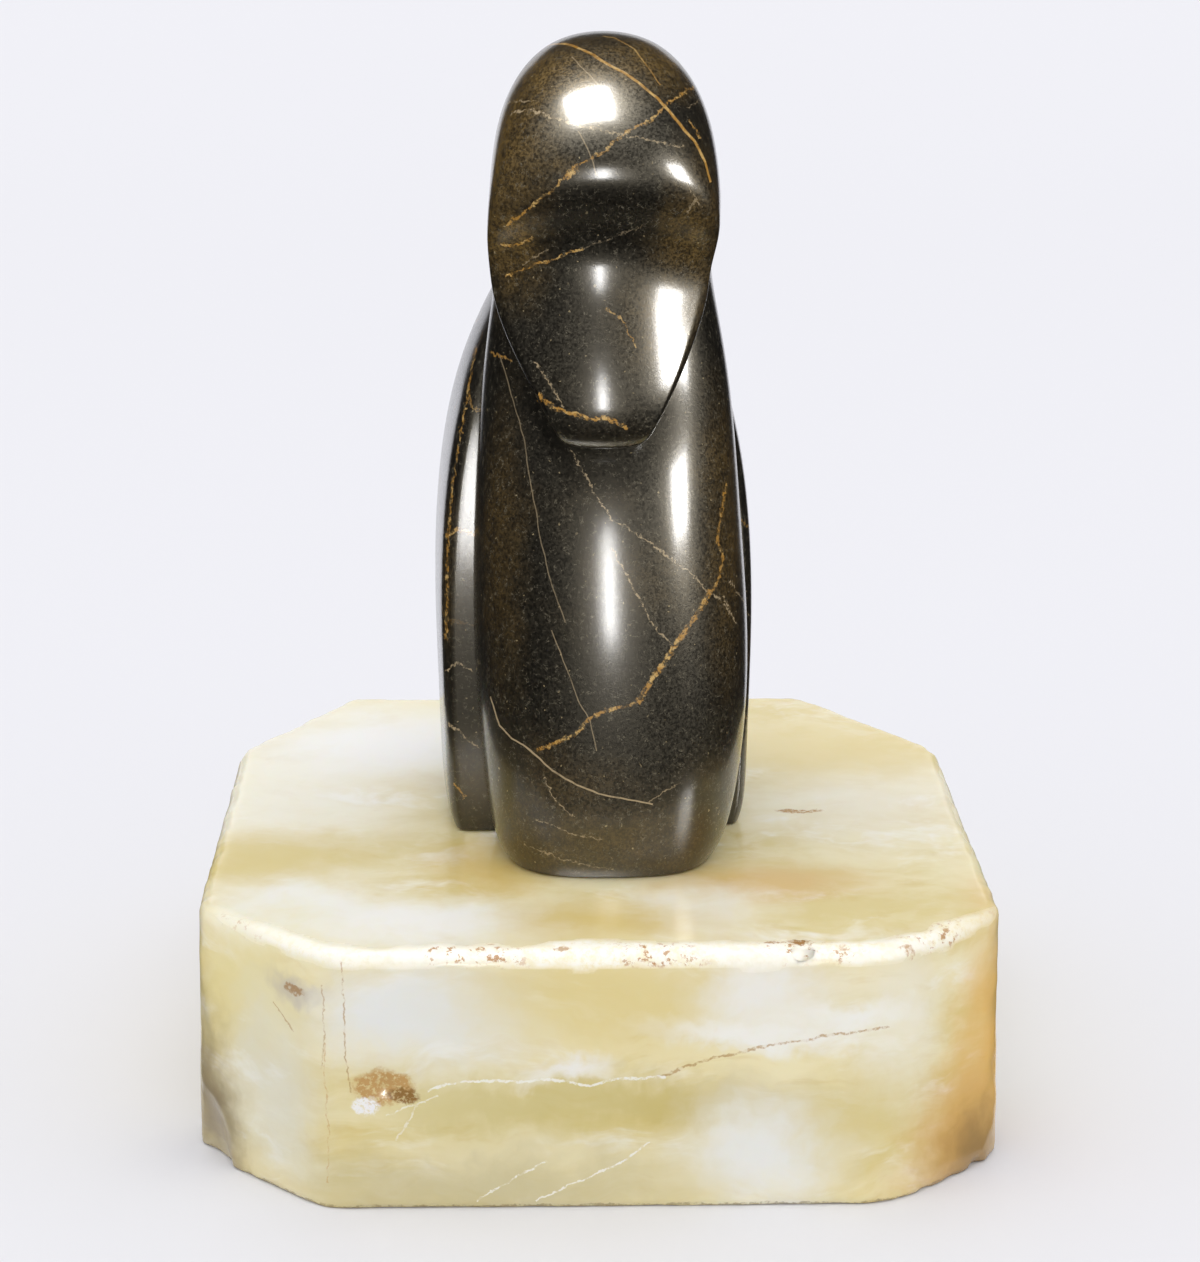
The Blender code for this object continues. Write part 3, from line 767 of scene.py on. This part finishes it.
def polished_onyx(settings):
    """Honey onyx, sawn and polished: cloudy yellow-green bands that light sinks into, white bruised
    arrises and brown iron stains, with a painted glare and the swan's painted shadow and reflection
    on its top."""
    material, tree, shader = new_material("polished_honey_onyx")
    place = in_mm(tree)

    # Bands a centimetre thick, slightly tilted, with finer cloudy streaks between
    bent = shaken(tree, place, 26.0, 16.0)
    tilted = {"Vector": bent, "Rotation": (0.05, 0.12, 0.3), "Scale": (0.35, 0.5, 1.3)}
    banded = add(tree, "Mapping", tilted).outputs[0]
    bands = (
        ("#f6ebc0", noise_share(tree, banded, 16.0, 0.36, 0.62, 5.0, 0.6)),
        ("#fffae8", noise_share(tree, banded, 9.0, 0.52, 0.72, 4.0, 0.65, top=0.9)),
        ("#d8bc6a", noise_share(tree, banded, 6.0, 0.54, 0.75, 4.0, 0.6, top=0.45)),
    )
    colour = (*settings.onyx, 1.0)
    for code, share in bands:
        colour = tint(tree, colour, opaque(code), share)

    # Clouds in the onyx, and painted light on the top: a glare, and the swan's shadow and reflection
    patch_place = shaken(tree, shaken(tree, place, 14.0, 14.0), 3.0, 5.0)
    for code, strength, middle, radii in ONYX_CLOUDS_AND_PAINTED_LIGHT:
        share = cloud(tree, patch_place, middle, radii, ONYX_SOFTNESS)
        colour = tint(tree, colour, opaque(code), share, strength)
    # The bruised arris: chalky white
    bruise = add(tree, "Attribute", attribute_name=BRUISE).outputs["Fac"]
    uneven = noise_share(tree, place, 5.0, 0.3, 0.5, 5.0, 0.65, bottom=0.3)
    fine = noise_share(tree, place, 1.3, 0.34, 0.54, 4.0, 0.7, bottom=0.5)
    colour = tint(tree, colour, opaque("#fff9e8"), bruise, uneven, fine)

    crumbly = shaken(tree, shaken(tree, place, 3.0, 2.6), 0.8, 1.6)
    crumbs = noise_share(tree, place, 0.9, 0.38, 0.52, 4.0, 0.7, bottom=0.25)
    for code, strength, middle, radii in ONYX_CRUMBS:
        share = cloud(tree, crumbly, middle, radii, CRUMB_SOFTNESS)
        colour = tint(tree, colour, opaque(code), share, crumbs, strength)
    jagged = shaken(tree, shaken(tree, place, 4.0, 1.6), 0.9, 0.9)
    broken = noise_share(tree, place, 1.4, 0.4, 0.54, 4.0, 0.7, bottom=0.15)
    for code, strength, width, points in ONYX_LINES:
        share = sheet(tree, jagged, width, strength, points)
        colour = tint(tree, colour, opaque(code), share, broken)

    # Rusty pits in the arris, half a millimetre to two
    pits = noise_share(tree, place, 1.7, 0.54, 0.62, 4.0, 0.75)
    grouped = noise_share(tree, place, 16.0, 0.42, 0.56, 2.0)
    colour = tint(tree, colour, opaque("#bd8a4a"), pits, bruise, grouped)

    rough = add(tree, "MapRange", {"Value": bruise, "To Min": 0.2, "To Max": 0.65})
    polish = {
        "Base Color": colour,
        "Roughness": rough.outputs[0],
        "IOR": 1.55,
        "Subsurface Weight": 0.3,
        "Subsurface Radius": (1.0, 0.8, 0.5),
        "Subsurface Scale": 0.004,
    }
    fill(tree, shader, polish)
    return material


# The plinth's form

# Each corner cut, along X and then along Y, from the front left anticlockwise
FRONT_LEFT_CUT = (0.0257, 0.0238)
FRONT_RIGHT_CUT = (0.0224, 0.0193)
BACK_RIGHT_CUT = (0.0263, 0.0375)
BACK_LEFT_CUT = (0.0217, 0.0364)
FRAME_FLARE = 0.0012  # how far the frame's own plinth leans out from top to foot
GRIT = 0.0010  # spacing of the plinth's mesh
# How much the radii of the worn edges vary, and over what distance, per metre
WEAR_GRAIN, FINE_GRAIN = 110.0, 330.0
TOP_WEAR, TOP_FINE_WEAR, UPRIGHT_WEAR, FOOT_WEAR = 0.3, 0.12, 0.4, 0.6
LEAST_SLOPE = 0.2  # squared; keeps the steps short where the distance to the shape is nearly flat
# Natural hollow low in the front left corner cut, where the block's skin was
HOLLOW = (0.0115, 0.00832, 0.0210)  # half its width along the cut, its thickness and its height
HOLLOW_DEPTH = 0.0032
HOLLOW_LIP = 0.0008
# Chips out of the lower arrises, the rusty patch and the top arris: (middle, radius)
CHIPS = (
    ((0.0790, -0.0590, 0.0), 0.0032),
    ((0.0735, -0.0630, -0.0004), 0.0026),
    ((0.0690, -0.0690, -0.0008), 0.0034),
    ((0.0630, -0.0735, -0.0006), 0.0030),
    ((0.0570, -0.0785, -0.0010), 0.0028),
    ((-0.0690, -0.0650, -0.0006), 0.0030),
    ((-0.0740, -0.0590, -0.0004), 0.0036),
    ((-0.0398, -0.0801, 0.0252), 0.0040),
    ((-0.0365, -0.0795, 0.0228), 0.0030),
    ((0.0367, -0.0752, 0.0505), 0.0016),
)
BRUISE = "bruise"  # the mesh attribute that says how chalky each place of the top arris is
BRUISE_REACH = 0.0048  # how far the chalky band reaches over the top at the front, on average
BRUISE_SPREAD = 0.0030  # how much that varies
BRUISE_FADES = 0.047  # how far in front of the middle it starts to grow
BRUISE_FADE = 0.022  # over what distance
BRUISE_BACK = 0.3  # its share at the back
BRUISE_GROWS = 0.5  # share of the half width from where it widens to the right
BRUISE_DROP, BRUISE_STEEPNESS = 0.001, 2.2  # where it starts to fade down the side, and how much faster
BRUISE_EDGE = 0.0018  # width of its soft edge


def plinth_outline(flare):
    """The plinth's eight corners from above, with its sides moved out, from the front left."""
    right = PLINTH_HIGH.x - FRAME_FLARE + flare
    back = PLINTH_HIGH.y - FRAME_FLARE + flare
    return [
        (-right + FRONT_LEFT_CUT[0], -back),
        (right - FRONT_RIGHT_CUT[0], -back),
        (right, -back + FRONT_RIGHT_CUT[1]),
        (right, back - BACK_RIGHT_CUT[1]),
        (right - BACK_RIGHT_CUT[0], back),
        (-right + BACK_LEFT_CUT[0], back),
        (-right, back - BACK_LEFT_CUT[1]),
        (-right, -back + FRONT_LEFT_CUT[1]),
    ]


def rounded(distances, radius):
    """Distance to the shape that all the given ones share, with its edges rounded."""
    over = [np.maximum(distance + radius, 0.0) for distance in distances]
    edge = np.sqrt(sum(part**2 for part in over)) - radius
    deep = np.maximum.reduce(distances)
    return np.where(deep > -radius, edge, deep)


class PlinthShape:
    """The plinth as a distance from its surface, with worn edges of varying radius."""

    def __init__(self, settings, points):
        self.height = PLINTH_HIGH.z
        foot = plinth_outline(settings.flare)
        top = plinth_outline(0.0)
        self.planes = []
        for index, corner in enumerate(foot):
            following = foot[(index + 1) % len(foot)]
            low = Vector((*corner, 0.0))
            normal = (Vector((*following, 0.0)) - low).cross(Vector((*top[index], self.height)) - low)
            self.planes.append((np.array(normal.normalized()), np.array(low)))
        # Wear over a centimetre, and over three millimetres
        self.wear = np.array([noise.fractal(Vector(p) * WEAR_GRAIN, 0.8, 2.0, 2) for p in points])
        fine = np.array([noise.noise(Vector(p) * FINE_GRAIN) for p in points])
        self.top_edge = settings.top_edge * (1.0 + TOP_WEAR * self.wear + TOP_FINE_WEAR * fine)
        self.upright_edge = settings.upright_edge * (1.0 + UPRIGHT_WEAR * self.wear)
        self.foot_edge = settings.foot_edge * (1.0 + FOOT_WEAR * self.wear)
        # The front left corner cut holds the hollow
        start, end = Vector(foot[-1]), Vector(foot[0])
        along = (end - start).normalized()
        outwards = Vector((along.y, -along.x))
        self.egg_axes = np.array([(*along, 0.0), (*outwards, 0.0), (0.0, 0.0, 1.0)])
        self.egg_middle = np.array((*(start + outwards * (HOLLOW[1] - HOLLOW_DEPTH)), 0.0))

    def side(self, points):
        return rounded([(points - low) @ normal for normal, low in self.planes], self.upright_edge)

    def distance(self, points):
        block = rounded([self.side(points), points[:, 2] - self.height], self.top_edge)
        block = rounded([block, -points[:, 2]], self.foot_edge)
        egg = np.linalg.norm((points - self.egg_middle) @ self.egg_axes.T / HOLLOW, axis=1)
        cuts = [block, (1.0 - egg) * HOLLOW[1]]
        for middle, radius in CHIPS:
            cuts.append(radius - np.linalg.norm(points - middle, axis=1))
        return rounded(cuts, HOLLOW_LIP)

    def bruise(self, points):
        """How chalky the stone is: along the top arris, most of all at the front right."""
        inset = -self.side(points)
        drop = self.height - points[:, 2]
        away = np.maximum(inset, 0.0) + BRUISE_STEEPNESS * np.maximum(drop - BRUISE_DROP, 0.0)
        front = np.clip((-points[:, 1] - BRUISE_FADES) / BRUISE_FADE, BRUISE_BACK, 1.0)
        right = 1.0 + np.clip(points[:, 0] / PLINTH_HIGH.x - BRUISE_GROWS, 0.0, 1.0)
        reach = (BRUISE_REACH + BRUISE_SPREAD * self.wear) * front * right
        return front * np.clip((reach - away) / BRUISE_EDGE, 0.0, 1.0)


def fit_to(shape, points, rounds=4, step=1e-5):
    """The points moved onto a shape's surface."""
    for _ in range(rounds):
        off = shape.distance(points)
        slopes = [(shape.distance(points + step * axis) - off) / step for axis in np.eye(3)]
        slope = np.stack(slopes, axis=1)
        size = np.maximum((slope**2).sum(axis=1), LEAST_SLOPE)
        points = points - slope * (off / size)[:, None]
    return points


def carve_plinth(settings):
    """The sawn block, its edges worn, chipped and bruised."""
    foot, top = plinth_outline(settings.flare), plinth_outline(0.0)
    bm = bmesh.new()
    circle = bmesh.ops.create_circle(bm, cap_ends=True, segments=len(foot), radius=1.0)
    for vert, corner in zip(circle["verts"], foot):
        vert.co = (*corner, 0.0)
    raised = bmesh.ops.extrude_face_region(bm, geom=bm.faces[:] + bm.edges[:] + bm.verts[:])
    upper = [item for item in raised["geom"] if isinstance(item, bmesh.types.BMVert)]
    for vert in upper:
        nearest = min(range(len(foot)), key=lambda index: (vert.co.xy - Vector(foot[index])).length)
        vert.co = (*top[nearest], PLINTH_HIGH.z)
    bmesh.ops.recalc_face_normals(bm, faces=bm.faces)
    block = show_form("plinth_block", bm)
    remesh = block.modifiers.new("Even mesh", "REMESH")
    remesh.mode = "VOXEL"
    remesh.voxel_size = GRIT
    plinth = settle(block, "plinth_onyx")
    bpy.data.objects.remove(block)
    count = len(plinth.data.vertices)
    points = np.empty(count * 3)
    plinth.data.vertices.foreach_get("co", points)
    points = points.reshape(-1, 3)
    shape = PlinthShape(settings, points)
    points = fit_to(shape, points)
    plinth.data.vertices.foreach_set("co", points.ravel())
    band = plinth.data.attributes.new(BRUISE, "FLOAT", "POINT")
    band.data.foreach_set("value", shape.bruise(points))
    plinth.data.update()
    plinth.data.shade_smooth()
    return plinth


def carve_swan(settings):
    """Breast, neck and head joined to the folded wings."""
    creases = []
    for index, (rib, following) in enumerate(zip(RIBS, RIBS[1:])):
        value = min(rib.crease, following.crease)
        creases += [(index, point, value) for point in (FACE_EDGE, 2 * RING_HALF - FACE_EDGE)]
    front = loft("front", [rib_ring(rib) for rib in RIBS], creases)
    rings = [wing_ring(level) for level in WING_LEVELS]
    corners = (WING_FRONT_SPACES, len(rings[0]) - WING_FRONT_SPACES)
    creases = [(index, point, WING_CREASE) for index in range(len(rings) - 1) for point in corners]
    wings = loft("wings", rings, creases)
    seat = Matrix.Translation((settings.offset, 0.0, SWAN_LOW.z)) @ Matrix.Scale(settings.square, 4)
    front.matrix_world = seat
    wings.matrix_world = seat @ Matrix.Rotation(settings.body_turn, 4, "Z")
    join = front.modifiers.new("Join wings", "BOOLEAN")
    join.operation = "UNION"
    join.solver = "EXACT"
    join.object = wings
    swan = settle(front, "swan_marble")
    for part in (front, wings):
        bpy.data.objects.remove(part)
    swan.data.set_sharp_from_angle(angle=SWAN_SHARP)
    return swan


# Operators


class STONE_OT_swan(bpy.types.Operator):
    """Carve the swan and give it its polished marble"""

    bl_idname = "stone_swan.swan"
    bl_label = "Swan"

    def execute(self, context):
        settings = context.scene.stone_swan
        swan = carve_swan(settings)
        swan.data.materials.clear()
        swan.data.materials.append(polished_marble(settings))
        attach(swan, "root")
        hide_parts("swan")
        return {"FINISHED"}


class STONE_OT_plinth(bpy.types.Operator):
    """Cut the plinth and give it its onyx"""

    bl_idname = "stone_swan.plinth"
    bl_label = "Plinth"

    def execute(self, context):
        settings = context.scene.stone_plinth
        plinth = carve_plinth(settings)
        plinth.data.materials.clear()
        plinth.data.materials.append(polished_onyx(settings))
        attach(plinth, "root")
        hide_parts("plinth")
        return {"FINISHED"}


def flat_square(half_width, height=0.0):
    """A level square."""
    bm = bmesh.new()
    bmesh.ops.create_grid(bm, x_segments=1, y_segments=1, size=half_width)
    bmesh.ops.translate(bm, verts=bm.verts, vec=(0.0, 0.0, height))
    return bm


def matt(name, colour, roughness, specular):
    """A plain material for the stage."""
    material, tree, shader = new_material(name)
    fill(tree, shader, {"Base Color": colour, "Roughness": roughness, "Specular IOR Level": specular})
    return material


def softbox(name, place, aim, size, turn, watts):
    """An area light at a place that faces another, shown by polish alone."""
    light = bpy.data.lights.new(name, "AREA")
    light.shape = "RECTANGLE"
    light.size, light.size_y = size
    light.energy = watts
    obj = show(name, light)
    obj.location = place
    back = (Vector(place) - Vector(aim)).to_track_quat("Z", "Y").to_matrix()
    obj.rotation_euler = (back @ Matrix.Rotation(math.radians(turn), 3, "Z")).to_euler()
    obj.visible_diffuse = False


def swept_card(start, end, half_angle):
    """A card that a line sweeps about the upright axis, to each side of the camera's direction."""
    bm = bmesh.new()
    turn = Matrix.Rotation(math.radians(-90.0 - half_angle), 4, "Z")
    verts = [bm.verts.new(turn @ Vector((reach, 0.0, height))) for reach, height in (start, end)]
    edge = bm.edges.new(verts)
    bmesh.ops.spin(
        bm,
        geom=[*verts, edge],
        cent=(0.0, 0.0, 0.0),
        axis=(0.0, 0.0, 1.0),
        angle=math.radians(2 * half_angle),
        steps=CARD_STEPS,
    )
    return bm


LIT_POINT = (0.0, -0.03, 0.15)
# Name, place, what it faces, size, turn about its own axis, watts. Only polish shows these; the
# surfaces themselves are lit by the sky.
SOFTBOXES = (
    ("overhead softbox", (-0.12, -0.36, 1.05), (-0.12, -0.36, 0.0), (0.38, 0.52), 8.0, 32.0),
    ("right softbox", (0.69, -0.67, 0.385), LIT_POINT, (0.24, 0.27), 0.0, 9.0),
    ("front strip's core", (0.01, -1.12, 0.14), LIT_POINT, (0.03, 0.24), 0.0, 0.8),
    ("front strip", (0.01, -1.13, 0.19), LIT_POINT, (0.06, 0.36), 0.0, 1.4),
    ("front strip's glow", (0.01, -1.15, 0.18), LIT_POINT, (0.16, 0.34), 0.0, 2.0),
)
CARD_RADIUS = 1.45
CARD_STEPS = 48
CARD_LIFT = 0.0005  # of the floor card above the floor
WALL_HALF_ANGLE = 160.0  # degrees to each side of the camera's direction
FLOOR_HALF_ANGLE = 152.0
CARD_START = 0.10  # the floor card's inner radius
BACK_CARD_FOOT = 0.62  # the sky shows below this behind the swan
SKY_LOW, SKY_HIGH = 0.72, 1.38  # the sky's strength at the horizon and overhead
# The camera, fitted to the plinth's edges in the photograph
LENS, SENSOR_WIDTH = 85.84, 36.0  # mm
CAMERA_PLACE = (-0.0129, -0.5853, 0.2643)
# How far it is turned left, down and anticlockwise
YAW, PITCH, ROLL = math.radians(-1.4), math.radians(16.64), math.radians(0.14)


def hang_cards():
    """Black velvet cards, which only polish shows, keep the middle of the swan dark."""
    velvet = matt("black_velvet", opaque("#141416"), 1.0, 0.0)
    foot, top = (CARD_RADIUS, 0.0), (CARD_RADIUS, CARD_RADIUS)
    cards = {
        "wall_card": swept_card(foot, top, WALL_HALF_ANGLE),
        "back_card": swept_card((CARD_RADIUS, BACK_CARD_FOOT), top, 180.0),
        "floor_card": swept_card((CARD_START, CARD_LIFT), (CARD_RADIUS, CARD_LIFT), FLOOR_HALF_ANGLE),
        "roof_card": flat_square(CARD_RADIUS, CARD_RADIUS),
    }
    for name, bm in cards.items():
        card = show_form(name, bm)
        card.data.materials.append(velvet)
        card.visible_camera = False
        card.visible_diffuse = False
        card.visible_shadow = False
        card.visible_transmission = False


def light_sky(scene):
    """A white sky, brighter overhead."""
    world = bpy.data.worlds.new("studio")
    world.use_nodes = True
    tree = world.node_tree
    way = add(tree, "TexCoord")
    parts = add(tree, "SeparateXYZ", {0: way.outputs["Generated"]})
    height = {"Value": parts.outputs[2], "To Min": SKY_LOW, "To Max": SKY_HIGH}
    strength = add(tree, "MapRange", height).outputs[0]
    fill(tree, tree.nodes["Background"], {"Color": opaque("#fbfbff"), "Strength": strength})
    scene.world = world
    scene.view_settings.view_transform = "Standard"


def place_camera(scene):
    camera = bpy.data.cameras.new("camera")
    camera.lens = LENS
    camera.sensor_width = SENSOR_WIDTH
    camera.clip_start = 0.01
    camera.clip_end = 100.0
    eye = show("camera", camera)
    aim = Matrix.Rotation(YAW, 4, "Z") @ Matrix.Rotation(math.pi / 2 - PITCH, 4, "X")
    eye.matrix_world = Matrix.Translation(CAMERA_PLACE) @ aim @ Matrix.Rotation(ROLL, 4, "Z")
    scene.camera = eye


class STONE_OT_stage(bpy.types.Operator):
    """Set the pale floor, the soft studio light and the camera"""

    bl_idname = "stone_swan.stage"
    bl_label = "Stage"

    def execute(self, context):
        settings = context.scene.stone_stage
        floor = show_form("floor", flat_square(settings.floor_size / 2))
        floor.data.materials.append(matt("matt_paper", (*settings.floor, 1.0), 0.9, 0.1))
        for box in SOFTBOXES:
            softbox(*box)
        hang_cards()
        light_sky(context.scene)
        place_camera(context.scene)
        return {"FINISHED"}


class STONE_PT_panel(bpy.types.Panel):
    """The figurine's settings and steps"""

    bl_label = "Stone Swan"
    bl_idname = "STONE_PT_panel"
    bl_space_type = "VIEW_3D"
    bl_region_type = "UI"
    bl_category = "Stone Swan"

    def draw(self, context):
        scene = context.scene
        for settings, operator in (
            (scene.stone_swan, STONE_OT_swan),
            (scene.stone_plinth, STONE_OT_plinth),
            (scene.stone_stage, STONE_OT_stage),
        ):
            box = self.layout.box()
            for name in settings.bl_rna.properties.keys():
                if name not in ("rna_type", "name"):
                    box.prop(settings, name)
            box.operator(operator.bl_idname)


CLASSES = (
    SwanSettings,
    PlinthSettings,
    StageSettings,
    STONE_OT_swan,
    STONE_OT_plinth,
    STONE_OT_stage,
    STONE_PT_panel,
)


def register():
    for kind in CLASSES:
        bpy.utils.register_class(kind)
    bpy.types.Scene.stone_swan = bpy.props.PointerProperty(type=SwanSettings)
    bpy.types.Scene.stone_plinth = bpy.props.PointerProperty(type=PlinthSettings)
    bpy.types.Scene.stone_stage = bpy.props.PointerProperty(type=StageSettings)


def unregister():
    del bpy.types.Scene.stone_stage
    del bpy.types.Scene.stone_plinth
    del bpy.types.Scene.stone_swan
    for kind in reversed(CLASSES):
        bpy.utils.unregister_class(kind)


def main():
    register()
    bpy.ops.stone_swan.stage()
    bpy.ops.stone_swan.plinth()
    bpy.ops.stone_swan.swan()


if __name__ == "__main__":
    main()
